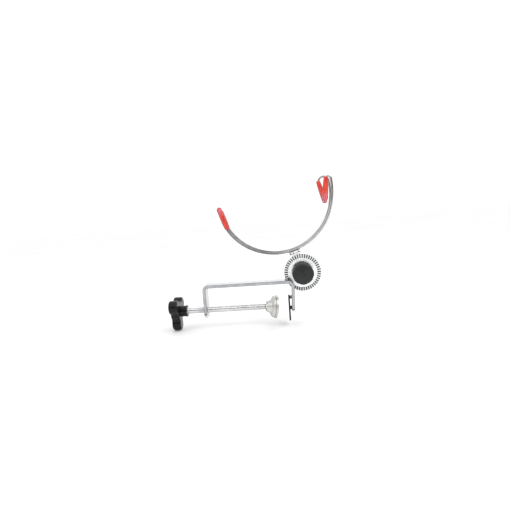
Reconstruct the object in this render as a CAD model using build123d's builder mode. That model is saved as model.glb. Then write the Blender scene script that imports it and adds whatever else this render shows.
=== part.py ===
from build123d import *
import math
import os

os.makedirs("parts", exist_ok=True)

# Clamp-on airbrush holder.
# Frame: +X runs along the clamp screw from its knob to the fixed jaw, +Z is up
# (the open side of the cradle), +Y runs to the back. The origin is on the screw
# axis, on the clamping face of the jaw pad.

# ---------------------------------------------------------------- dimensions
# bent flat bar
bar_w = 16.0            # width of the bar, along Y
bar_t = 3.0             # thickness of the bar
spine_low = 22.8        # underside of the long top run
flange_in = -81.7       # inner face of the screw flange
flange_end = -7.5       # lower end of the screw flange
jaw_at_z6 = 3.5         # inner face of the jaw at Z = 6
jaw_lean = 2.4          # degrees the jaw leans towards the screw
jaw_end = -5.4          # lower end of the jaw

# jaw pad
pad_r = 13.0
pad_t = 1.6
pad_z = -2.5

# toothed friction joint
piv_x, piv_z = 16.3, 31.0
disc_r = 18.7
disc_t = 2.1
disc_gap = 0.08
teeth = 45
teeth_in = 15.0
tooth_depth = 0.7
bolt_r = 3.0
run_fit = 0.05          # radial clearance of every running fit
washer_r = 9.0
washer_t = 1.05
knob_r = 10.8
knob_front = -7.0

# cradle
arc_x, arc_z = -8.1, 110.4
arc_r = 59.0
wire_r = 1.2
front_y, rear_y = 14.6, 32.5
tip_r = 2.8
tip_len = 24.0
right_tip_len = 24.6
grip = 15.0             # length of wire inside a tip

# clamp screw and swivel foot
screw_r = 3.0
neck_r = 1.8
ball_x = -20.5
ball_r = 3.5
foot_tilt = 8.2         # droop of the foot about its ball, degrees
foot_turn = 12.0        # turn of the foot towards the back, degrees
foot_r = 11.5
foot_len = 8.8          # ball centre to clamping face

# three-lobed screw knob
lobe_r = 6.8
lobe_at = 12.2
lobe_back, lobe_front = -118.6, -109.8
hub_front = -102.7

# ------------------------------------------------------------ reference frames
joint_plane = Plane(origin=(piv_x, 0, piv_z), x_dir=(1, 0, 0), z_dir=(0, -1, 0))
tilt, turn = math.radians(foot_tilt), math.radians(foot_turn)
foot_axis = Vector(math.cos(turn) * math.cos(tilt), math.sin(turn), -math.cos(turn) * math.sin(tilt))
foot_plane = Plane(origin=(ball_x, 0, 0), x_dir=foot_axis, z_dir=foot_axis.cross(Vector(0, 0, 1)))


def jaw_x(z):
    """X of the jaw's inner face at height z."""
    return jaw_at_z6 + (z - 6) * math.tan(math.radians(jaw_lean))


# --------------------------------------------------------------- clamp_bracket
spine_top = spine_low + bar_t
flange_out = flange_in - bar_t
outline = [
    (flange_out, flange_end),
    (flange_out, spine_top),
    (jaw_x(spine_top) + bar_t, spine_top),
    (jaw_x(jaw_end) + bar_t, jaw_end),
    (jaw_x(jaw_end), jaw_end),
    (jaw_x(spine_low), spine_low),
    (flange_in, spine_low),
    (flange_in, flange_end),
]
with BuildPart() as clamp_bracket:
    with BuildSketch(Plane.XZ) as bar_profile:
        with BuildLine():
            Polyline(*outline, close=True)
        make_face()
        corners = bar_profile.vertices()
        fillet(corners.filter_by_position(Axis.X, flange_out - 0.1, flange_out + 0.1).sort_by(Axis.Y)[-1], 5.0)
        fillet(bar_profile.vertices().filter_by_position(Axis.X, flange_in - 0.1, flange_in + 0.1).sort_by(Axis.Y)[-1], 2.0)
        fillet(bar_profile.vertices().sort_by(Axis.X)[-1], 7.0)
        fillet(bar_profile.vertices().sort_by_distance((jaw_x(spine_low), spine_low))[0], 4.0)
    extrude(amount=bar_w / 2, both=True)
    # rounded corners at the two ends of the bar
    ends = clamp_bracket.edges().filter_by(Axis.X).filter_by(lambda e: e.center().Z < -5)
    fillet(ends.filter_by(lambda e: e.center().X < -50), 5.0)
    fillet(clamp_bracket.edges().filter_by(Axis.X).filter_by(lambda e: e.center().Z < -5 and e.center().X > -50), 3.0)
    # broken edges along both sides of the bar
    sides = clamp_bracket.faces().filter_by(Axis.Y)
    chamfer(sides.edges(), 0.3)
    # tapped hole for the clamp screw
    with Locations(Plane.YZ.offset(flange_in)):
        Hole(screw_r + run_fit, depth=2 * bar_t)
clamp_bracket.part.label = "clamp_bracket"
export_step(clamp_bracket.part, "parts/clamp_bracket.step")

# --------------------------------------------------------------------- jaw_pad
# Rubber disc, with a block and a locating lug that bond to the jaw's face.
with BuildPart() as jaw_pad:
    with BuildSketch(Plane.YZ):
        with Locations((0, pad_z)):
            Circle(pad_r)
    extrude(amount=pad_t)
    fillet(jaw_pad.edges().filter_by(GeomType.CIRCLE), 0.45)
    with BuildSketch(Plane.XZ):
        with BuildLine():
            Polyline((pad_t - 0.2, -4.1), (jaw_x(-4.1), -4.1), (jaw_x(-0.9), -0.9), (pad_t - 0.2, -0.9), close=True)
        make_face()
    extrude(amount=1.6, both=True)
    with BuildSketch(Plane.XZ):
        with BuildLine():
            Polyline((pad_t - 0.2, 7.0), (jaw_x(7.0), 7.0), (jaw_x(9.6), 9.6), (pad_t - 0.2, 9.2), close=True)
        make_face()
    extrude(amount=3.0, both=True)
jaw_pad.part.label = "jaw_pad"
export_step(jaw_pad.part, "parts/jaw_pad.step")

# ------------------------------------------------------------------ fixed_disc
# Toothed disc, lap-welded to the back edge of the bar at its corner.
fixed_front = bar_w / 2
with BuildPart(joint_plane.offset(-fixed_front)) as fixed_disc:
    with BuildSketch(joint_plane.offset(-fixed_front - disc_t)):
        Circle(disc_r)
        Circle(bolt_r + run_fit, mode=Mode.SUBTRACT)
    extrude(amount=disc_t)
    with Locations((0, 0, 0), (0, 0, -disc_t)):
        with PolarLocations(teeth_in + 3.0, teeth):
            Box(6.0, tooth_depth * math.sqrt(2), tooth_depth * math.sqrt(2), rotation=(45, 0, 0), mode=Mode.SUBTRACT)
fixed_disc.part.label = "fixed_disc"
export_step(fixed_disc.part, "parts/fixed_disc.step")

# ----------------------------------------------------------------- moving_disc
# Toothed disc with a flared tab that bends back into a saddle under the wires.
moving_front = fixed_front + disc_t + disc_gap
moving_back = moving_front + disc_t
saddle_back = rear_y + 4.0
half_saddle = 6.3
pivot_to_arc = math.hypot(piv_x - arc_x, piv_z - arc_z)
saddle_top = pivot_to_arc - arc_r - wire_r
tab_plane = Plane(
    origin=(piv_x, 0, piv_z),
    x_dir=((arc_z - piv_z) / pivot_to_arc, 0, (piv_x - arc_x) / pivot_to_arc),
    z_dir=(0, -1, 0),
)
with BuildPart() as moving_disc:
    with BuildSketch(joint_plane.offset(-moving_back)):
        Circle(disc_r)
    extrude(amount=disc_t)
    with Locations(joint_plane.offset(-moving_front), joint_plane.offset(-moving_back)):
        with PolarLocations(teeth_in + 3.0, teeth):
            Box(6.0, tooth_depth * math.sqrt(2), tooth_depth * math.sqrt(2), rotation=(45, 0, 0), mode=Mode.SUBTRACT)
    # tab
    with BuildSketch(tab_plane.offset(-moving_back)):
        with BuildLine():
            Polyline(
                (-4.0, teeth_in),
                (-4.6, disc_r - 0.2),
                (-half_saddle, saddle_top - 1.4),
                (-half_saddle, saddle_top),
                (half_saddle, saddle_top),
                (half_saddle, saddle_top - 1.4),
                (4.6, disc_r - 0.2),
                (4.0, teeth_in),
                close=True,
            )
        make_face()
    extrude(amount=disc_t)
    # flat saddle
    with BuildSketch(tab_plane.offset(-saddle_back)):
        with Locations((0, saddle_top - disc_t / 2)):
            Rectangle(2 * half_saddle, disc_t)
    extrude(amount=saddle_back - moving_front)
    tab_up = Vector(-(piv_x - arc_x) / pivot_to_arc, 0, (arc_z - piv_z) / pivot_to_arc)
    outer_bend = (
        moving_disc.edges()
        .filter_by(lambda e: abs((e.center() - Vector(piv_x, moving_front, piv_z)).dot(tab_up) - saddle_top) < 0.05)
        .filter_by(lambda e: abs(e.center().Y - moving_front) < 0.05)
    )
    fillet(outer_bend, 2.2)
    far_corners = moving_disc.edges().filter_by(lambda e: abs(e.center().Y - saddle_back) < 0.05 and e.length < disc_t + 0.05)
    fillet(far_corners, 1.5)
    # square hole that the bolt's neck fits
    with BuildSketch(joint_plane.offset(-moving_back - 1)):
        Rectangle(2 * bolt_r, 2 * bolt_r)
    extrude(amount=disc_t + 2, mode=Mode.SUBTRACT)
moving_disc.part.label = "moving_disc"
export_step(moving_disc.part, "parts/moving_disc.step")

# ------------------------------------------------------------------ pivot_bolt
# Round-headed bolt with a square neck, put in from the back.
with BuildPart() as pivot_bolt:
    with BuildSketch(joint_plane.offset(-moving_back)):
        Rectangle(2 * bolt_r, 2 * bolt_r)
    extrude(amount=disc_t - 0.05)
    with BuildSketch(joint_plane.offset(-moving_back)):
        Circle(bolt_r)
    extrude(amount=moving_back + 2.5)
    with BuildSketch(Plane(origin=(piv_x, moving_back, piv_z), x_dir=(1, 0, 0), z_dir=(0, 0, 1))):
        with BuildLine():
            Polyline((0, 3.3), (0, 0), (6.9, 0), (6.9, 0.5))
            TangentArc((0, 3.3), (6.9, 0.5), tangent=Vector(1, 0, 0))
        make_face()
    revolve(axis=Axis((piv_x, 0, piv_z), (0, -1, 0)))
    chamfer(pivot_bolt.edges().filter_by(GeomType.CIRCLE).sort_by(Axis.Y)[0], 0.6)
pivot_bolt.part.label = "pivot_bolt"
export_step(pivot_bolt.part, "parts/pivot_bolt.step")

# ----------------------------------------------------------------- knob_washer
washer_back = fixed_front - 0.05
with BuildPart() as knob_washer:
    with BuildSketch(joint_plane.offset(-washer_back)):
        Circle(washer_r)
        Circle(bolt_r + run_fit, mode=Mode.SUBTRACT)
    extrude(amount=washer_t)
    chamfer(knob_washer.edges().filter_by(GeomType.CIRCLE).filter_by(lambda e: e.radius > 5), 0.2)
knob_washer.part.label = "knob_washer"
export_step(knob_washer.part, "parts/knob_washer.step")

# ------------------------------------------------- joint_knob and its insert
knob_back = washer_back - washer_t - 0.05
insert_front = 1.0
insert_r = 5.0
with BuildPart(joint_plane.offset(-knob_back)) as joint_knob:
    with BuildSketch(Plane(origin=(piv_x, 0, piv_z), x_dir=(1, 0, 0), z_dir=(0, 0, 1))):
        with BuildLine():
            Polyline((0, knob_front), (0, knob_back), (7.6, knob_back), (8.0, knob_back - 0.4), (8.0, knob_back - 3.0), (knob_r, knob_back - 4.2), (knob_r, knob_front + 3.2))
            ThreePointArc((knob_r, knob_front + 3.2), (knob_r - 0.75, knob_front + 1.6), (knob_r - 2.4, knob_front + 0.75))
            TangentArc((0, knob_front), (knob_r - 2.4, knob_front + 0.75), tangent=Vector(1, 0, 0))
        make_face()
    revolve(axis=Axis((piv_x, 0, piv_z), (0, -1, 0)))
    with BuildSketch(joint_plane.offset(-knob_back + 3.6)):
        with PolarLocations(knob_r + 6.1, 8, start_angle=22.5):
            Circle(6.5)
    extrude(amount=20, mode=Mode.SUBTRACT)
    with BuildSketch(joint_plane.offset(-knob_back - 1)):
        Circle(insert_r)
    extrude(amount=1 + knob_back - insert_front, mode=Mode.SUBTRACT)
    with BuildSketch(joint_plane.offset(-insert_front)):
        Circle(bolt_r + 0.6)
    extrude(amount=insert_front + 4.2, mode=Mode.SUBTRACT)
joint_knob.part.label = "joint_knob"
export_step(joint_knob.part, "parts/joint_knob.step")

with BuildPart() as joint_knob_insert:
    with BuildSketch(joint_plane.offset(-knob_back)):
        Circle(insert_r)
        Circle(bolt_r + run_fit, mode=Mode.SUBTRACT)
    extrude(amount=knob_back - insert_front)
joint_knob_insert.part.label = "joint_knob_insert"
export_step(joint_knob_insert.part, "parts/joint_knob_insert.step")

# ------------------------------------------------------------- cradle wires
# Each wire: a straight end, a small bend, the big arc, an opening arc, a return
# hook and a short leg.
left_bend = 5.0                     # radius of the bend below the left tip
front_left = ((-58.11, 79.77), 107.99)      # left tip's mouth, and direction to its closed end
rear_left = ((-58.78, 77.3), 107.96)
arc_leave = (47.96, 92.0)           # where the big arc opens out towards the hook
front_hook = ((50.6, 124.0), (45.44, 123.81))
rear_hook = ((49.8, 123.2), (39.60, 120.75))


def unit(deg):
    return (math.cos(math.radians(deg)), math.sin(math.radians(deg)))


def left_tangency(mouth, deg):
    """Points where the small bend leaves the straight end and meets the big arc."""
    ux, uz = unit(deg + 180)
    nx, nz = -uz, ux
    ax = mouth[0] + left_bend * nx - arc_x
    az = mouth[1] + left_bend * nz - arc_z
    b = ax * ux + az * uz
    c = ax * ax + az * az - (arc_r - left_bend) ** 2
    root = math.sqrt(b * b - c)
    s = min((-b - root, -b + root), key=abs)
    cx, cz = mouth[0] + s * ux + left_bend * nx, mouth[1] + s * uz + left_bend * nz
    k = arc_r / (arc_r - left_bend)
    return (mouth[0] + s * ux, mouth[1] + s * uz), (arc_x + (cx - arc_x) * k, arc_z + (cz - arc_z) * k)


def at(point, y):
    return Vector(point[0], y, point[1])


with BuildPart() as front_cradle_wire:
    with BuildLine() as front_path:
        bend_start, bend_end = left_tangency(*front_left)
        ux, uz = unit(front_left[1])
        run = Line(at((front_left[0][0] + grip * ux, front_left[0][1] + grip * uz), front_y), at(bend_start, front_y))
        small = TangentArc(run @ 1, at(bend_end, front_y), tangent=run % 1)
        big = TangentArc(small @ 1, at(arc_leave, front_y), tangent=small % 1)
        opening = TangentArc(big @ 1, at(front_hook[0], front_y), tangent=big % 1)
        hook = TangentArc(opening @ 1, at(front_hook[1], front_y), tangent=opening % 1)
        Line(hook @ 1, hook @ 1 + (hook % 1) * grip)
    front_leg = (hook @ 1, hook % 1)
    with BuildSketch(Plane(origin=run @ 0, z_dir=run % 0)):
        Circle(wire_r)
    sweep()
front_cradle_wire.part.label = "front_cradle_wire"
export_step(front_cradle_wire.part, "parts/front_cradle_wire.step")

with BuildPart() as rear_cradle_wire:
    with BuildLine() as rear_path:
        bend_start, bend_end = left_tangency(*rear_left)
        ux, uz = unit(rear_left[1])
        run = Line(at((rear_left[0][0] + grip * ux, rear_left[0][1] + grip * uz), rear_y), at(bend_start, rear_y))
        small = TangentArc(run @ 1, at(bend_end, rear_y), tangent=run % 1)
        big = TangentArc(small @ 1, at(arc_leave, rear_y), tangent=small % 1)
        opening = TangentArc(big @ 1, at(rear_hook[0], rear_y), tangent=big % 1)
        hook = TangentArc(opening @ 1, at(rear_hook[1], rear_y), tangent=opening % 1)
        Line(hook @ 1, hook @ 1 + (hook % 1) * grip)
    rear_leg = (hook @ 1, hook % 1)
    with BuildSketch(Plane(origin=run @ 0, z_dir=run % 0)):
        Circle(wire_r)
    sweep()
rear_cradle_wire.part.label = "rear_cradle_wire"
export_step(rear_cradle_wire.part, "parts/rear_cradle_wire.step")


# ------------------------------------------------------------------ vinyl tips
def tip_plane(mouth, along):
    """Plane whose local X runs from a tip's open mouth to its closed end."""
    return Plane(origin=mouth, x_dir=along, z_dir=(0, -1, 0))


def tip_axis(plane):
    return Axis(plane.origin, plane.x_dir)


bore = wire_r
front_left_plane = tip_plane(at(front_left[0], front_y), at(unit(front_left[1]), 0))
rear_left_plane = tip_plane(at(rear_left[0], rear_y), at(unit(rear_left[1]), 0))
front_right_plane = tip_plane(front_leg[0] - front_leg[1] * 2.2, front_leg[1])
rear_right_plane = tip_plane(rear_leg[0] - rear_leg[1] * 2.6, rear_leg[1])


def tip_profile(length):
    """Half section of a tip: thin mouth, straight wall, round closed end, blind bore."""
    Polyline(
        (0.3, bore), (0.0, bore + 0.3), (0.0, tip_r - 0.75), (0.4, tip_r - 0.45), (6.0, tip_r), (length - tip_r, tip_r)
    )
    RadiusArc((length - tip_r, tip_r), (length, 0), tip_r)
    Polyline((length, 0), (length - 1.4, 0), (length - 2.2, bore), (0.3, bore))


with BuildPart() as front_left_tip:
    with BuildSketch(front_left_plane):
        with BuildLine():
            tip_profile(tip_len)
        make_face()
    revolve(axis=tip_axis(front_left_plane))
front_left_tip.part.label = "front_left_tip"
export_step(front_left_tip.part, "parts/front_left_tip.step")

with BuildPart() as rear_left_tip:
    with BuildSketch(rear_left_plane):
        with BuildLine():
            tip_profile(tip_len)
        make_face()
    revolve(axis=tip_axis(rear_left_plane))
rear_left_tip.part.label = "rear_left_tip"
export_step(rear_left_tip.part, "parts/rear_left_tip.step")

with BuildPart() as front_right_tip:
    with BuildSketch(front_right_plane):
        with BuildLine():
            tip_profile(right_tip_len)
        make_face()
    revolve(axis=tip_axis(front_right_plane))
front_right_tip.part.label = "front_right_tip"
export_step(front_right_tip.part, "parts/front_right_tip.step")

with BuildPart() as rear_right_tip:
    with BuildSketch(rear_right_plane):
        with BuildLine():
            tip_profile(right_tip_len)
        make_face()
    revolve(axis=tip_axis(rear_right_plane))
rear_right_tip.part.label = "rear_right_tip"
export_step(rear_right_tip.part, "parts/rear_right_tip.step")

# ----------------------------------------------------------------- clamp_screw
# M6 rod, with a thin neck and a ball at the foot end.
screw_tail = -113.2
shoulder = ball_x - 3.85
with BuildPart() as clamp_screw:
    with BuildSketch(Plane.XZ):
        with BuildLine():
            ball_join = math.sqrt(ball_r**2 - neck_r**2)
            Polyline(
                (screw_tail, 0),
                (screw_tail, screw_r - 0.4),
                (screw_tail + 0.4, screw_r),
                (shoulder - 0.4, screw_r),
                (shoulder, screw_r - 0.4),
                (shoulder, neck_r),
                (ball_x - ball_join, neck_r),
            )
            ThreePointArc((ball_x - ball_join, neck_r), (ball_x, ball_r), (ball_x + ball_r, 0))
            Line((ball_x + ball_r, 0), (screw_tail, 0))
        make_face()
    revolve(axis=Axis.X)
clamp_screw.part.label = "clamp_screw"
export_step(clamp_screw.part, "parts/clamp_screw.step")

# ---------------------------------------------------- screw_knob and its insert
screw_insert_r = 4.0
with BuildPart() as screw_knob:
    with BuildSketch(Plane.YZ.offset(lobe_back)) as lobes:
        Circle(10.0)
        with PolarLocations(lobe_at, 3, start_angle=30):
            Circle(lobe_r)
        fillet(lobes.vertices(), 3.5)
    extrude(amount=lobe_front - lobe_back)
    rims = screw_knob.faces().filter_by(Axis.X).edges()
    fillet(rims, 1.6)
    with BuildSketch(Plane.YZ.offset(lobe_front - 0.5)):
        Circle(5.5)
    extrude(amount=hub_front - lobe_front + 0.5)
    # grip ring at the mouth of the hub
    with BuildSketch(Plane.YZ.offset(hub_front - 1.6)):
        Circle(5.8)
    extrude(amount=1.6)
    fillet(screw_knob.edges().filter_by(GeomType.CIRCLE).filter_by(lambda e: abs(e.radius - 5.8) < 0.01).sort_by(Axis.X)[-1], 0.3)
    # blind hole for the insert and the rod
    with BuildSketch(Plane.YZ.offset(hub_front)):
        Circle(screw_insert_r)
    extrude(amount=screw_tail - hub_front, mode=Mode.SUBTRACT)
screw_knob.part.label = "screw_knob"
export_step(screw_knob.part, "parts/screw_knob.step")

with BuildPart() as screw_knob_insert:
    with BuildSketch(Plane.YZ.offset(screw_tail)):
        Circle(screw_insert_r)
        Circle(screw_r + 0.02, mode=Mode.SUBTRACT)
    extrude(amount=hub_front - screw_tail + 0.9)
    chamfer(screw_knob_insert.edges().filter_by(GeomType.CIRCLE).filter_by(lambda e: e.radius > 3.9).sort_by(Axis.X)[-1], 0.3)
screw_knob_insert.part.label = "screw_knob_insert"
export_step(screw_knob_insert.part, "parts/screw_knob_insert.step")

# ---------------------------------------------------------------- screw_collar
# Loose collar on the neck between the rod's shoulder and the foot.
collar_back = shoulder + 0.05
with BuildPart() as screw_collar:
    with BuildSketch(Plane.YZ.offset(collar_back)):
        Circle(3.0)
        Circle(neck_r + run_fit, mode=Mode.SUBTRACT)
    extrude(amount=0.6)
    chamfer(screw_collar.edges().filter_by(GeomType.CIRCLE).filter_by(lambda e: e.radius > 2.9), 0.15)
screw_collar.part.label = "screw_collar"
export_step(screw_collar.part, "parts/screw_collar.step")

# ----------------------------------------------------------------- swivel_foot
# Bell-shaped foot; its socket is closed over the ball.
socket_r = ball_r + run_fit
mouth_at = -2.0
mouth_r = math.sqrt(socket_r**2 - mouth_at**2)
with BuildPart() as swivel_foot:
    with BuildSketch(foot_plane):
        with BuildLine():
            ThreePointArc((mouth_at, mouth_r), (0, socket_r), (socket_r, 0))
            Polyline(
                (socket_r, 0),
                (foot_len, 0),
                (foot_len, foot_r - 0.35),
                (foot_len - 0.35, foot_r),
                (foot_len - 1.9, foot_r),
                (foot_len - 2.2, foot_r - 0.3),
                (foot_len - 2.3, foot_r - 1.1),
                (foot_len - 2.5, foot_r - 1.1),
                (foot_len - 2.65, foot_r - 0.7),
                (4.9, foot_r - 0.9),
            )
            ThreePointArc((4.9, foot_r - 0.9), (3.95, 10.05), (3.4, 8.9))
            ThreePointArc((3.4, 8.9), (2.6, 7.2), (1.4, 6.4))
            Polyline((1.4, 6.4), (mouth_at + 0.4, 5.35), (mouth_at, 4.9), (mouth_at, mouth_r))
        make_face()
    revolve(axis=Axis((ball_x, 0, 0), foot_axis))
swivel_foot.part.label = "swivel_foot"
export_step(swivel_foot.part, "parts/swivel_foot.step")
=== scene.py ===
import math
import random

import bpy
from mathutils import Matrix, Vector


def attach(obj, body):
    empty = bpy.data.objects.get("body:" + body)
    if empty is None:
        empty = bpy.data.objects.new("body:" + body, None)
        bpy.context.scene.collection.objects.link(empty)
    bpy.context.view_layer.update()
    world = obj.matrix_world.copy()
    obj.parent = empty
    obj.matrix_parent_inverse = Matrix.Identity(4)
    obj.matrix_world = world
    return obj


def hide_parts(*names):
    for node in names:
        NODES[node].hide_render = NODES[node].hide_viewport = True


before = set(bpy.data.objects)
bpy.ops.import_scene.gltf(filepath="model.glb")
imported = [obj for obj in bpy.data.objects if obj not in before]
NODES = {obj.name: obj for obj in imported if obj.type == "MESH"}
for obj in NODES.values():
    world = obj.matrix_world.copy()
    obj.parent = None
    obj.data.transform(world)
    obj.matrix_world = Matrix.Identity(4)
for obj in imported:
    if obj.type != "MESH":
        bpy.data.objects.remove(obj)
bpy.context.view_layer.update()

MM = 0.001
rng = random.Random(7)


# ------------------------------------------------------------------ materials
class Mat:
    """Small helper round a node tree, with a noise-driven base shared by all finishes."""

    def __init__(self, name):
        self.m = bpy.data.materials.new(name)
        self.m.use_nodes = True
        self.t = self.m.node_tree
        self.n = self.t.nodes
        self.b = self.n["Principled BSDF"]
        self.tc = self.n.new("ShaderNodeTexCoord")

    def link(self, a, b):
        self.t.links.new(a, b)

    def noise(self, scale, detail=3.0, rough=0.55, stretch=None, distortion=0.0):
        n = self.n.new("ShaderNodeTexNoise")
        n.inputs["Scale"].default_value = scale
        n.inputs["Detail"].default_value = detail
        n.inputs["Roughness"].default_value = rough
        n.inputs["Distortion"].default_value = distortion
        if stretch:
            mp = self.n.new("ShaderNodeMapping")
            mp.inputs["Scale"].default_value = stretch
            self.link(self.tc.outputs["Object"], mp.inputs["Vector"])
            self.link(mp.outputs["Vector"], n.inputs["Vector"])
        else:
            self.link(self.tc.outputs["Object"], n.inputs["Vector"])
        return n.outputs["Fac"]

    def ramp(self, fac, lo, hi, a=0.35, b=0.65):
        r = self.n.new("ShaderNodeValToRGB")
        r.color_ramp.elements[0].position = a
        r.color_ramp.elements[1].position = b
        r.color_ramp.elements[0].color = (*lo, 1) if not isinstance(lo, float) else (lo, lo, lo, 1)
        r.color_ramp.elements[1].color = (*hi, 1) if not isinstance(hi, float) else (hi, hi, hi, 1)
        self.link(fac, r.inputs["Fac"])
        return r.outputs["Color"]

    def span(self, fac, lo, hi):
        r = self.n.new("ShaderNodeMapRange")
        r.inputs["From Min"].default_value = 0.3
        r.inputs["From Max"].default_value = 0.7
        r.inputs["To Min"].default_value = lo
        r.inputs["To Max"].default_value = hi
        self.link(fac, r.inputs["Value"])
        return r.outputs["Result"]

    def bump(self, fac, strength, distance):
        b = self.n.new("ShaderNodeBump")
        b.inputs["Strength"].default_value = strength
        b.inputs["Distance"].default_value = distance
        self.link(fac, b.inputs["Height"])
        self.link(b.outputs["Normal"], self.b.inputs["Normal"])


def plated(name, lo, hi, r0, r1, grain, stretch=None, strength=0.12, edge=0.35, blend=0.35):
    """Bright metal. edge darkens it where it is seen at a grazing angle: painted edge shade along the silhouettes.
    """
    m = Mat(name)
    m.b.inputs["Metallic"].default_value = 1.0
    lw = m.n.new("ShaderNodeLayerWeight")
    lw.inputs["Blend"].default_value = blend
    dark = m.n.new("ShaderNodeMix")
    dark.data_type = "RGBA"
    dark.blend_type = "MULTIPLY"
    m.link(m.ramp(lw.outputs["Facing"], 0.0, 1.0, 0.25, 0.95), dark.inputs[0])
    m.link(m.ramp(m.noise(180, 4, 0.6), lo, hi), dark.inputs[6])
    dark.inputs[7].default_value = (edge, edge, edge, 1)
    m.link(dark.outputs[2], m.b.inputs["Base Color"])
    m.link(m.span(m.noise(420, 5, 0.6, stretch), r0, r1), m.b.inputs["Roughness"])
    m.bump(m.noise(grain, 4, 0.6, stretch), strength, 0.00004)
    m.colour = dark
    return m


def toothed(name):
    """Zinc with painted shade in the valleys between the teeth of the pivot discs."""
    m = plated(name, (0.86, 0.87, 0.88), (0.96, 0.97, 0.98), 0.16, 0.28, 3000)
    sep = m.n.new("ShaderNodeSeparateXYZ")
    m.link(m.tc.outputs["Object"], sep.inputs[0])

    def calc(op, a, b=None):
        q = m.n.new("ShaderNodeMath")
        q.operation = op
        for i, v in enumerate((a, b)):
            if v is None:
                continue
            if isinstance(v, (int, float)):
                q.inputs[i].default_value = v
            else:
                m.link(v, q.inputs[i])
        return q.outputs[0]

    x = calc("SUBTRACT", sep.outputs["X"], 0.0163)
    z = calc("SUBTRACT", sep.outputs["Z"], 0.0310)
    r = calc("SQRT", calc("ADD", calc("MULTIPLY", x, x), calc("MULTIPLY", z, z)))
    turn = calc("MULTIPLY", calc("ARCTAN2", z, x), 45 / (2 * math.pi))
    off = calc("ABSOLUTE", calc("SUBTRACT", calc("FRACT", calc("ADD", turn, 0.5)), 0.5))
    width = calc("MULTIPLY", calc("MULTIPLY", off, r), 2 * math.pi / 45)
    valley = m.n.new("ShaderNodeMapRange")
    for k, v in (("From Min", 0.00060), ("From Max", 0.00048), ("To Min", 0.0), ("To Max", 1.0)):
        valley.inputs[k].default_value = v
    m.link(width, valley.inputs["Value"])
    mask = calc("MULTIPLY", valley.outputs["Result"], calc("MULTIPLY", calc("GREATER_THAN", r, 0.01495), calc("LESS_THAN", r, 0.01878)))
    # painted shade: the tooth valleys are coloured near black where the V-grooves fall into shade
    valley_shade = m.n.new("ShaderNodeMix")
    valley_shade.data_type = "RGBA"
    m.link(mask, valley_shade.inputs[0])
    m.link(m.colour.outputs[2], valley_shade.inputs[6])
    m.link(m.ramp(m.noise(900, 3, 0.6), 0.02, 0.08), valley_shade.inputs[7])
    m.link(valley_shade.outputs[2], m.b.inputs["Base Color"])
    ring = calc("MULTIPLY", calc("GREATER_THAN", r, 0.01495), calc("LESS_THAN", r, 0.0196))
    m.link(calc("SUBTRACT", 1.0, calc("MULTIPLY", ring, 0.9)), m.b.inputs["Metallic"])
    return m.m


ZINC = plated("zinc_plate", (0.66, 0.67, 0.69), (0.80, 0.81, 0.82), 0.20, 0.34, 2600).m


def bar_stock(name):
    """Zinc-plated bar: bright faces; the sheared edge faces are painted darker and a dark line is painted along each
    corner, as painted shade.
    """
    m = plated(name, (0.68, 0.69, 0.71), (0.82, 0.83, 0.84), 0.18, 0.32, 2600, edge=0.5)
    sep = m.n.new("ShaderNodeSeparateXYZ")
    m.link(m.tc.outputs["Object"], sep.inputs[0])
    ab = m.n.new("ShaderNodeMath")
    ab.operation = "ABSOLUTE"
    m.link(sep.outputs["Y"], ab.inputs[0])
    scaled = m.n.new("ShaderNodeMapRange")
    scaled.inputs["From Min"].default_value = 0.0074
    scaled.inputs["From Max"].default_value = 0.0080
    m.link(ab.outputs[0], scaled.inputs["Value"])
    # painted shade: dark band near each corner and darker narrow faces, driven by depth Y
    rp = m.n.new("ShaderNodeValToRGB")
    el = rp.color_ramp.elements
    el[0].position, el[0].color = 0.35, (1, 1, 1, 1)
    el[1].position, el[1].color = 1.0, (0.62, 0.62, 0.63, 1)
    for pos, g in ((0.52, 0.16), (0.93, 0.20), (0.985, 0.60)):
        q = el.new(pos)
        q.color = (g, g, g, 1)
    m.link(scaled.outputs["Result"], rp.inputs["Fac"])
    mul = m.n.new("ShaderNodeMix")
    mul.data_type = "RGBA"
    mul.blend_type = "MULTIPLY"
    mul.inputs[0].default_value = 1.0
    m.link(m.colour.outputs[2], mul.inputs[6])
    m.link(rp.outputs["Color"], mul.inputs[7])
    m.link(mul.outputs[2], m.b.inputs["Base Color"])
    return m.m


BAR = bar_stock("zinc_bar")
DISC = toothed("zinc_toothed")
NICKEL = plated("nickel_plate", (0.64, 0.63, 0.61), (0.78, 0.77, 0.75), 0.38, 0.50, 2200, edge=0.45).m
THREAD = plated("rolled_thread", (0.72, 0.72, 0.73), (0.88, 0.88, 0.88), 0.08, 0.16, 3000, strength=0.05, edge=0.02, blend=0.45).m
WIRE = plated("drawn_wire", (0.46, 0.46, 0.46), (0.62, 0.62, 0.62), 0.10, 0.20, 1800, strength=0.06, edge=0.03, blend=0.5).m
BRASS = plated("brass_insert", (0.62, 0.45, 0.18), (0.80, 0.62, 0.30), 0.2, 0.35, 2500).m
WELD = plated("weld_bead", (0.05, 0.048, 0.045), (0.26, 0.25, 0.24), 0.25, 0.5, 1500, strength=0.5).m


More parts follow.
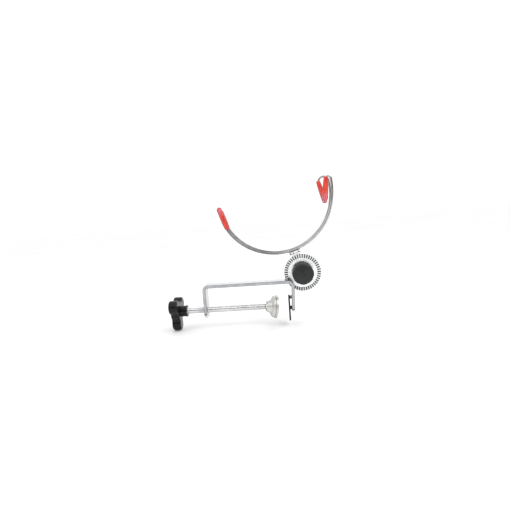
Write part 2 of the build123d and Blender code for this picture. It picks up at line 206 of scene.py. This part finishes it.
def paint_shade_along_x(mat, bright_x, shade_x, amount):
    """Painted shade: the drawn wire colour darkens towards one end of the cradle."""
    t = mat.node_tree
    b = t.nodes["Principled BSDF"]
    unshaded = b.inputs["Base Color"].links[0].from_socket
    where = t.nodes.new("ShaderNodeSeparateXYZ")
    t.links.new(t.nodes.new("ShaderNodeTexCoord").outputs["Object"], where.inputs[0])
    fade = t.nodes.new("ShaderNodeMapRange")
    for k, v in (("From Min", shade_x), ("From Max", bright_x), ("To Min", amount), ("To Max", 0.0)):
        fade.inputs[k].default_value = v
    t.links.new(where.outputs["X"], fade.inputs["Value"])
    mix = t.nodes.new("ShaderNodeMix")
    mix.data_type = "RGBA"
    mix.blend_type = "MULTIPLY"
    t.links.new(fade.outputs["Result"], mix.inputs[0])
    t.links.new(unshaded, mix.inputs[6])
    mix.inputs[7].default_value = (0.25, 0.25, 0.25, 1)
    t.links.new(mix.outputs[2], b.inputs["Base Color"])


# painted shade on the wire, darkest at the left end of the cradle
paint_shade_along_x(WIRE, 0.015, -0.020, 0.75)


def moulded(name, lo, hi, r0, r1, grain, strength, spec=0.5):
    m = Mat(name)
    m.link(m.ramp(m.noise(160, 4, 0.6), lo, hi), m.b.inputs["Base Color"])
    m.link(m.span(m.noise(300, 5, 0.6), r0, r1), m.b.inputs["Roughness"])
    m.b.inputs["Specular IOR Level"].default_value = spec
    m.bump(m.noise(grain, 3, 0.6), strength, 0.00006)
    return m.m


PLASTIC = moulded("satin_black", (0.004, 0.004, 0.004), (0.009, 0.009, 0.009), 0.20, 0.30, 4200, 0.18, 0.26)
KNOB = moulded("charcoal_knob", (0.016, 0.0165, 0.017), (0.027, 0.0275, 0.028), 0.36, 0.46, 3600, 0.16, 0.35)
RUBBER = moulded("black_rubber", (0.002, 0.002, 0.002), (0.006, 0.006, 0.006), 0.42, 0.58, 3600, 0.25, 0.15)


def bonded(mat):
    """Grey bonding compound where the pad is joined to the jaw."""
    t = mat.node_tree
    b = t.nodes["Principled BSDF"]
    rubber = b.inputs["Base Color"].links[0].from_socket
    where = t.nodes.new("ShaderNodeSeparateXYZ")
    t.links.new(t.nodes.new("ShaderNodeTexCoord").outputs["Object"], where.inputs[0])
    step = t.nodes.new("ShaderNodeMapRange")
    step.inputs["From Min"].default_value = 0.00155
    step.inputs["From Max"].default_value = 0.00180
    t.links.new(where.outputs["X"], step.inputs["Value"])
    grain = t.nodes.new("ShaderNodeTexNoise")
    grain.inputs["Scale"].default_value = 900
    tone = t.nodes.new("ShaderNodeValToRGB")
    tone.color_ramp.elements[0].position, tone.color_ramp.elements[0].color = 0.35, (0.16, 0.16, 0.16, 1)
    tone.color_ramp.elements[1].position, tone.color_ramp.elements[1].color = 0.65, (0.30, 0.30, 0.30, 1)
    t.links.new(t.nodes.new("ShaderNodeTexCoord").outputs["Object"], grain.inputs["Vector"])
    t.links.new(grain.outputs["Fac"], tone.inputs["Fac"])
    mix = t.nodes.new("ShaderNodeMix")
    mix.data_type = "RGBA"
    t.links.new(step.outputs["Result"], mix.inputs[0])
    t.links.new(rubber, mix.inputs[6])
    t.links.new(tone.outputs["Color"], mix.inputs[7])
    t.links.new(mix.outputs[2], b.inputs["Base Color"])


bonded(RUBBER)


def vinyl(name):
    m = Mat(name)
    lw = m.n.new("ShaderNodeLayerWeight")
    lw.inputs["Blend"].default_value = 0.5
    # painted edge shade: the red darkens towards the silhouette, where the tip is seen at a grazing angle
    mix = m.n.new("ShaderNodeMix")
    mix.data_type = "RGBA"
    m.link(m.ramp(lw.outputs["Facing"], 0.0, 1.0, 0.10, 0.65), mix.inputs[0])
    along = m.n.new("ShaderNodeAttribute")
    along.attribute_name = "along"
    pale = m.n.new("ShaderNodeMix")
    pale.data_type = "RGBA"
    m.link(m.ramp(along.outputs["Fac"], 0.0, 1.0, 0.58, 0.80), pale.inputs[0])
    m.link(m.ramp(m.noise(140, 4, 0.6), (0.72, 0.040, 0.022), (0.84, 0.080, 0.042)), pale.inputs[6])
    m.link(m.ramp(m.noise(200, 4, 0.6), (0.72, 0.12, 0.15), (0.82, 0.18, 0.21)), pale.inputs[7])
    m.link(pale.outputs[2], mix.inputs[6])
    m.link(m.ramp(m.noise(220, 3, 0.6), (0.20, 0.008, 0.010), (0.30, 0.014, 0.016)), mix.inputs[7])
    m.link(mix.outputs[2], m.b.inputs["Base Color"])
    m.link(m.span(m.noise(260, 4, 0.6), 0.20, 0.30), m.b.inputs["Roughness"])
    m.b.inputs["Specular IOR Level"].default_value = 0.35
    m.b.inputs["Subsurface Weight"].default_value = 0.15
    m.b.inputs["Subsurface Radius"].default_value = (1.0, 0.25, 0.2)
    m.b.inputs["Subsurface Scale"].default_value = 0.0012
    m.b.inputs["Coat Weight"].default_value = 0.45
    m.b.inputs["Coat Roughness"].default_value = 0.08
    m.bump(m.noise(220, 1, 0.5), 0.04, 0.00006)
    return m.m


VINYL = vinyl("red_vinyl")


# ------------------------------------------------------------------- mesh code
def make(name, verts, faces, mat, body, angle=35.0):
    me = bpy.data.meshes.new(name)
    me.from_pydata([tuple(v) for v in verts], [], faces)
    me.update()
    me.materials.append(mat)
    for p in me.polygons:
        p.use_smooth = True
    me.set_sharp_from_angle(angle=math.radians(angle))
    ob = bpy.data.objects.new(name, me)
    bpy.context.scene.collection.objects.link(ob)
    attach(ob, body)
    return ob


def lathe(profile, origin, axis, n=96, shape=None):
    """Turns (along, radius) points in mm about an axis. shape(along, radius, angle) may change the radius."""
    axis = Vector(axis).normalized()
    u = axis.cross(Vector((0, 1, 0))) if abs(axis.y) < 0.9 else axis.cross(Vector((1, 0, 0)))
    u.normalize()
    v = axis.cross(u)
    o = Vector(origin)
    verts, rings, faces = [], [], []
    for a, r in profile:
        if r < 1e-6:
            rings.append([len(verts)])
            verts.append((o + axis * a) * MM)
        else:
            ring = []
            for k in range(n):
                t = 2 * math.pi * k / n
                rr = shape(a, r, t) if shape else r
                ring.append(len(verts))
                verts.append((o + axis * a + u * (rr * math.cos(t)) + v * (rr * math.sin(t))) * MM)
            rings.append(ring)
    for a, b in zip(rings, rings[1:]):
        for k in range(n):
            j = (k + 1) % n
            if len(a) == 1 and len(b) == 1:
                continue
            if len(a) == 1:
                faces.append((a[0], b[j], b[k]))
            elif len(b) == 1:
                faces.append((a[k], a[j], b[0]))
            else:
                faces.append((a[k], a[j], b[j], b[k]))
    return verts, faces


def tube(points, r, n=24):
    """Sweeps a round wire through points in mm that lie in a plane of constant Y."""
    verts, faces, side = [], [], Vector((0, 1, 0))
    for i, p in enumerate(points):
        a = points[max(i - 1, 0)]
        b = points[min(i + 1, len(points) - 1)]
        t = (b - a).normalized()
        u = t.cross(side).normalized()
        for k in range(n):
            w = 2 * math.pi * k / n
            verts.append((p + (u * math.cos(w) + side * math.sin(w)) * r) * MM)
    for i in range(len(points) - 1):
        for k in range(n):
            j = (k + 1) % n
            faces.append((i * n + k, i * n + j, (i + 1) * n + j, (i + 1) * n + k))
    faces.append(tuple(range(n - 1, -1, -1)))
    m = (len(points) - 1) * n
    faces.append(tuple(range(m, m + n)))
    return verts, faces


def tangent_arc(p0, t0, p1, step=0.6):
    """Points in the XZ plane of the arc that leaves p0 along t0 and ends at p1, and its end direction."""
    chord = p1 - p0
    nrm = Vector((-t0.y, t0.x))
    k = 2 * nrm.dot(chord) / chord.length_squared
    if abs(k) < 1e-9:
        return [p0, p1], t0
    c = p0 + nrm / k
    r = abs(1 / k)
    a0 = math.atan2(p0.y - c.y, p0.x - c.x)
    a1 = math.atan2(p1.y - c.y, p1.x - c.x)
    sweep = a1 - a0
    if k > 0:
        sweep %= 2 * math.pi
    else:
        sweep = -((-sweep) % (2 * math.pi))
    n = max(6, int(abs(sweep) * r / step))
    pts = [c + Vector((math.cos(a0 + sweep * i / n), math.sin(a0 + sweep * i / n))) * r for i in range(n + 1)]
    s = 1 if k > 0 else -1
    end = a0 + sweep
    return pts, Vector((-math.sin(end), math.cos(end))) * s


# ----------------------------------------------------------- wires and tips
ARC = Vector((-8.1, 110.4))
ARC_R = 59.0
BEND = 5.0
GRIP = 15.0
TIP_R = 2.8
TIP_L = 24.0
RIGHT_L = 24.6
WIRE_R = 1.2


def unit(deg):
    return Vector((math.cos(math.radians(deg)), math.sin(math.radians(deg))))


def left_tangency(mouth, deg):
    u = -unit(deg)
    nrm = Vector((-u.y, u.x))
    a = mouth + nrm * BEND - ARC
    b = a.dot(u)
    root = math.sqrt(b * b - (a.length_squared - (ARC_R - BEND) ** 2))
    s = min((-b - root, -b + root), key=abs)
    c = mouth + u * s + nrm * BEND
    return mouth + u * s, ARC + (c - ARC) * (ARC_R / (ARC_R - BEND))


def wire(mouth, deg, hook_in, hook_out, y, extra):
    t1, t2 = left_tangency(mouth, deg)
    start = mouth + unit(deg) * GRIP
    pts = [start + (t1 - start) * (i / 8) for i in range(9)]
    d = -unit(deg)
    for q, step in ((t2, 0.4), (Vector((47.96, 92.0)), 0.7), (hook_in, 0.6), (hook_out, 0.35)):
        more, d = tangent_arc(pts[-1], d, q, step)
        pts += more[1:]
    leg = pts[-1].copy()
    pts += [leg + d * ((GRIP + extra) * (i + 1) / 8) for i in range(8)]
    return [Vector((p.x, y, p.y)) for p in pts], leg, d


FRONT_Y, REAR_Y = 14.6, 32.5
SIDES = {
    "front": (Vector((-58.11, 79.77)), 107.99, Vector((50.6, 124.0)), Vector((45.44, 123.81)), FRONT_Y, -2.2),
    "rear": (Vector((-58.78, 77.3)), 107.96, Vector((49.8, 123.2)), Vector((39.60, 120.75)), REAR_Y, -2.6),
}


def tip(name, mouth, d, y, node, seed, L=TIP_L):
    """Dipped tip: thin tapering mouth, slightly uneven wall, round closed end."""
    rr = random.Random(seed)
    ph = [rr.uniform(0, 6.28) for _ in range(4)]
    prof = [(1.0, WIRE_R), (0.35, WIRE_R), (0.02, 1.35), (0.0, 1.55), (0.02, 1.75), (0.35, 1.98), (1.2, 2.14), (3.0, 2.36), (5.5, 2.57), (8.0, 2.70), (10.5, 2.77)]
    for i in range(1, 10):
        prof.append((10.5 + (L - 2.8 - 10.5) * i / 10, 2.77))
    for i in range(0, 13):
        a = math.pi / 2 * i / 12
        prof.append((L - 2.8 + 2.79 * math.sin(a), 2.79 * math.cos(a) if i < 12 else 0.0))

    def shape(a, r, t):
        wob = 0.012 * math.sin(2 * t + ph[0] + a * 0.4) + 0.010 * math.sin(3 * t + ph[1] - a * 0.7)
        return min(TIP_R, r * (1 + (wob if r > 1.5 else 0)) if r > 1.5 else r)

    v, f = lathe(prof, (mouth.x, y, mouth.y), (d.x, 0, d.y), 64, shape)
    ob = make(name, v, f, VINYL, "arm", 60)
    along = ob.data.attributes.new("along", "FLOAT", "POINT")
    start, run = Vector((mouth.x, y, mouth.y)), Vector((d.x, 0, d.y))
    for i, q in enumerate(v):
        along.data[i].value = max(0.0, min(1.0, (q / MM - start).dot(run) / L))
    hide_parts(node)


for side, (mouth, deg, hin, hout, y, extra) in SIDES.items():
    pts, leg, d = wire(mouth, deg, hin, hout, y, extra)
    v, f = tube(pts, WIRE_R - 0.01)
    ob = make(side + "_wire_look", v, f, WIRE, "arm", 50)
    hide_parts(side + "_cradle_wire")
    tip(side + "_left_tip_look", mouth, unit(deg), y, side + "_left_tip", 11 if side == "front" else 12)
    tip(side + "_right_tip_look", leg + d * extra, d, y, side + "_right_tip", 13 if side == "front" else 14, RIGHT_L)

# --------------------------------------------------------------- weld beads
PIV = Vector((16.3, 0, 31.0))
dx, dz = PIV.x - ARC.x, ARC.y - PIV.z
L0 = math.hypot(dx, dz)
Q = Vector((dz / L0, 0, dx / L0))
T = Vector((-dx / L0, 0, dz / L0))
TOP = L0 - ARC_R - WIRE_R


def bead(name, q, y, size, seed, drop=0.0):
    """Lumpy run of weld beside a wire, half sunk in the saddle."""
    rr = random.Random(seed)
    prof = [(-size[0] * math.cos(math.pi * i / 12), size[2] * math.sin(math.pi * i / 12)) for i in range(13)]
    ph = [rr.uniform(0, 6.28) for _ in range(3)]

    def shape(a, r, t):
        return r * (1 + 0.18 * math.sin(a * 3.1 + ph[0]) + 0.12 * math.sin(2 * t + ph[1] + a) + 0.08 * math.sin(5 * t + ph[2]))

    prof[0] = (prof[0][0], 0.0)
    prof[-1] = (prof[-1][0], 0.0)
    o = PIV + Q * q + T * (TOP + 0.05 - drop) + Vector((0, y, 0))
    v, f = lathe(prof, o, Q, 28, shape)
    ob = make(name, v, f, WELD, "arm", 60)


bead("weld_front_a", -3.9, FRONT_Y - 1.1, (1.4, 0, 1.05), 1)
bead("weld_front_b", 3.7, FRONT_Y - 1.1, (1.3, 0, 1.0), 2)
bead("weld_front_d", -0.3, FRONT_Y - 1.1, (1.2, 0, 0.9), 6)
bead("weld_front_c", 0.4, FRONT_Y + 1.1, (4.2, 0, 0.75), 3)
BEND_Y = min((NODES["moving_disc"].matrix_world @ q.co).y for q in NODES["moving_disc"].data.vertices) / MM + 0.2
bead("weld_spot_a", -4.9, BEND_Y, (0.9, 0, 0.62), 21, 1.3)
bead("weld_spot_b", -1.7, BEND_Y, (0.7, 0, 0.55), 22, 1.3)
bead("weld_spot_c", 3.6, BEND_Y, (0.8, 0, 0.60), 23, 1.3)
bead("weld_rear_a", -0.4, REAR_Y - 1.1, (4.4, 0, 0.80), 4)
bead("weld_rear_b", 0.2, REAR_Y + 1.1, (3.8, 0, 0.75), 5)

# ------------------------------------------------------------- clamp screw
TAIL, SHOULDER, BALL = -113.2, -24.35, -20.5


def screw_mesh():
    n, per = 40, 10
    verts, faces, rings = [], [], 0
    x = TAIL
    step = 1.0 / per
    xs = []
    while x < SHOULDER - 1e-6:
        xs.append(x)
        x += step
    xs.append(SHOULDER)
    for xx in xs:
        for k in range(n):
            t = 2 * math.pi * k / n
            w = (xx - t / (2 * math.pi)) % 1.0
            tri = abs(w - 0.5) * 2
            deep = min(1.0, max(0.0, (tri - 0.12) / 0.72))
            r = 2.99 - 0.30 * (1 - deep)
            fade = min(1.0, (SHOULDER - xx) / 0.8)
            r = 2.45 + (r - 2.45) * fade if fade < 1 else r
            verts.append(Vector((xx, r * math.cos(t), r * math.sin(t))) * MM)
    m = len(xs)
    for i in range(m - 1):
        for k in range(n):
            j = (k + 1) % n
            faces.append((i * n + k, i * n + j, (i + 1) * n + j, (i + 1) * n + k))
    base = len(verts)
    # end caps, neck and ball
    verts.append(Vector((TAIL, 0, 0)) * MM)
    for k in range(n):
        faces.append((base, (k + 1) % n, k))
    prev = (m - 1) * n
    prof = [(SHOULDER, 1.8), (BALL - 3.0, 1.8)]
    for i in range(15):
        a = math.acos(-3.0 / 3.5) + (0 - math.acos(-3.0 / 3.5)) * i / 14
        prof.append((BALL + 3.5 * math.cos(a), 3.5 * math.sin(a)))
    for a, r in prof[:-1]:
        start = len(verts)
        for k in range(n):
            t = 2 * math.pi * k / n
            verts.append(Vector((a, r * math.cos(t), r * math.sin(t))) * MM)
        for k in range(n):
            j = (k + 1) % n
            faces.append((prev + k, prev + j, start + j, start + k))
        prev = start
    last = len(verts)
    verts.append(Vector((BALL + 3.5, 0, 0)) * MM)
    for k in range(n):
        faces.append((prev + k, prev + (k + 1) % n, last))
    return verts, faces


v, f = screw_mesh()
ob = make("clamp_screw_look", v, f, THREAD, "screw", 60)
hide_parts("clamp_screw")

# ---------------------------------------------------------------- swivel foot
tilt = math.radians(8.2)
yaw = math.radians(12.0)
F_AX = (math.cos(yaw) * math.cos(tilt), math.sin(yaw), -math.cos(yaw) * math.sin(tilt))
prof = [(-1.3, 3.2), (-1.72, 2.95), (-1.75, 4.2), (-1.99, 4.55), (-2.0, 4.9), (-1.85, 5.2), (-1.6, 5.35), (0.2, 5.95), (1.4, 6.4), (2.0, 6.75), (2.6, 7.35), (3.05, 8.1), (3.4, 8.9),
        (3.7, 9.6), (4.1, 10.15), (4.5, 10.45), (4.9, 10.58), (5.6, 10.68), (6.05, 10.78), (6.2, 10.6), (6.3, 10.4), (6.5, 10.4), (6.6, 11.1), (6.75, 11.4), (7.0, 11.49),
        (8.4, 11.49), (8.68, 11.4), (8.79, 11.15), (8.79, 4.0), (8.79, 0.0)]
v, f = lathe(prof, (BALL, 0, 0), F_AX, 128)
ob = make("swivel_foot_look", v, f, NICKEL, "foot", 28)
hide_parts("swivel_foot")

# ------------------------------------------------------------------- CAD looks
LOOK = {
    "clamp_bracket": BAR, "fixed_disc": DISC, "moving_disc": DISC, "pivot_bolt": ZINC, "knob_washer": ZINC,
    "screw_knob_insert": ZINC, "screw_collar": THREAD, "joint_knob_insert": BRASS,
    "joint_knob": KNOB, "screw_knob": PLASTIC, "jaw_pad": RUBBER,
}
for name, mat in LOOK.items():
    me = NODES[name].data
    me.materials.clear()
    me.materials.append(mat)

# ------------------------------------------------------------- stage and light
fm = Mat("stage_floor")
fm.link(fm.ramp(fm.noise(3, 3, 0.5), (0.90, 0.90, 0.90), (0.93, 0.93, 0.93)), fm.b.inputs["Base Color"])
fm.link(fm.span(fm.noise(6, 3, 0.5), 0.6, 0.75), fm.b.inputs["Roughness"])
R, n = 12.0, 96
fv = [Vector((0, 0, -0.0195))] + [Vector((R * math.cos(2 * math.pi * k / n), R * math.sin(2 * math.pi * k / n), -0.0195)) for k in range(n)]
me = bpy.data.meshes.new("stage_floor")
me.from_pydata([tuple(p) for p in fv], [], [(0, 1 + k, 1 + (k + 1) % n) for k in range(n)])
me.materials.append(fm.m)
floor = bpy.data.objects.new("stage_floor", me)
bpy.context.scene.collection.objects.link(floor)

world = bpy.data.worlds.new("soft_room")
bpy.context.scene.world = world
world.use_nodes = True
wt = world.node_tree
bg = wt.nodes["Background"]
tc = wt.nodes.new("ShaderNodeTexCoord")
sep = wt.nodes.new("ShaderNodeSeparateXYZ")
wt.links.new(tc.outputs["Generated"], sep.inputs[0])


def world_ramp(source, stops):
    r = wt.nodes.new("ShaderNodeValToRGB")
    r.color_ramp.interpolation = "EASE"
    el = r.color_ramp.elements
    for i, (pos, g) in enumerate(stops):
        q = el[i] if i < 2 else el.new(pos)
        q.position = pos
        q.color = (g, g, g, 1)
    wt.links.new(source, r.inputs["Fac"])
    return r.outputs["Color"]


def world_span(source, lo, hi):
    r = wt.nodes.new("ShaderNodeMapRange")
    r.inputs["From Min"].default_value = lo
    r.inputs["From Max"].default_value = hi
    wt.links.new(source, r.inputs["Value"])
    return r.outputs["Result"]


# white room towards the back, grey bands towards the front, bright ceiling
front_half = world_ramp(world_span(sep.outputs["Z"], -1, 1), [(0.0, 0.9), (1.0, 1.1), (0.485, 0.85), (0.525, 0.06), (0.62, 0.05), (0.70, 0.65), (0.82, 1.1)])
back_half = world_ramp(world_span(sep.outputs["Z"], -1, 1), [(0.0, 1.0), (1.0, 1.0)])
side = world_span(sep.outputs["Y"], -0.35, 0.05)
wm = wt.nodes.new("ShaderNodeMix")
wm.data_type = "RGBA"
wt.links.new(side, wm.inputs[0])
wt.links.new(front_half, wm.inputs[6])
wt.links.new(back_half, wm.inputs[7])
seen = wt.nodes.new("ShaderNodeMix")
seen.data_type = "RGBA"
wt.links.new(wt.nodes.new("ShaderNodeLightPath").outputs["Is Camera Ray"], seen.inputs[0])
wt.links.new(wm.outputs[2], seen.inputs[6])
seen.inputs[7].default_value = (1.0, 1.0, 1.0, 1.0)
wt.links.new(seen.outputs[2], bg.inputs["Color"])
bg.inputs["Strength"].default_value = 1.12


def area(name, loc, target, size, power, size_y=None):
    d = bpy.data.lights.new(name, "AREA")
    d.energy = power
    d.shape = "RECTANGLE"
    d.size = size
    d.size_y = size_y or size
    o = bpy.data.objects.new(name, d)
    o.location = loc
    o.rotation_euler = (Vector(target) - Vector(loc)).to_track_quat("-Z", "Y").to_euler()
    bpy.context.scene.collection.objects.link(o)


area("key", (0.55, -0.45, 0.75), (-0.02, 0, 0.05), 0.45, 2.2)
area("fill", (-0.75, -0.45, 0.35), (-0.03, 0, 0.04), 0.5, 0.7)
area("back", (0.1, 0.8, 0.6), (0, 0, 0.05), 0.8, 1.5)

# ---------------------------------------------------------------------- camera
C = Vector((0, -0.450, 0.091))
AIM = Vector((-0.03025, 0, 0.0526))
fwd = (AIM - C).normalized()
r0 = fwd.cross(Vector((0, 0, 1))).normalized()
u0 = r0.cross(fwd)
roll = math.radians(4.06)
right = r0 * math.cos(roll) - u0 * math.sin(roll)
up = u0 * math.cos(roll) + r0 * math.sin(roll)
cam = bpy.data.cameras.new("camera")
cam.lens = 31.95
cam.sensor_width = 36.0
cam.clip_start = 0.01
cam.clip_end = 100.0
co = bpy.data.objects.new("camera", cam)
co.matrix_world = Matrix((
    (right.x, up.x, -fwd.x, C.x),
    (right.y, up.y, -fwd.y, C.y),
    (right.z, up.z, -fwd.z, C.z),
    (0, 0, 0, 1),
))
bpy.context.scene.collection.objects.link(co)
bpy.context.scene.camera = co
bpy.context.scene.view_settings.view_transform = "Standard"
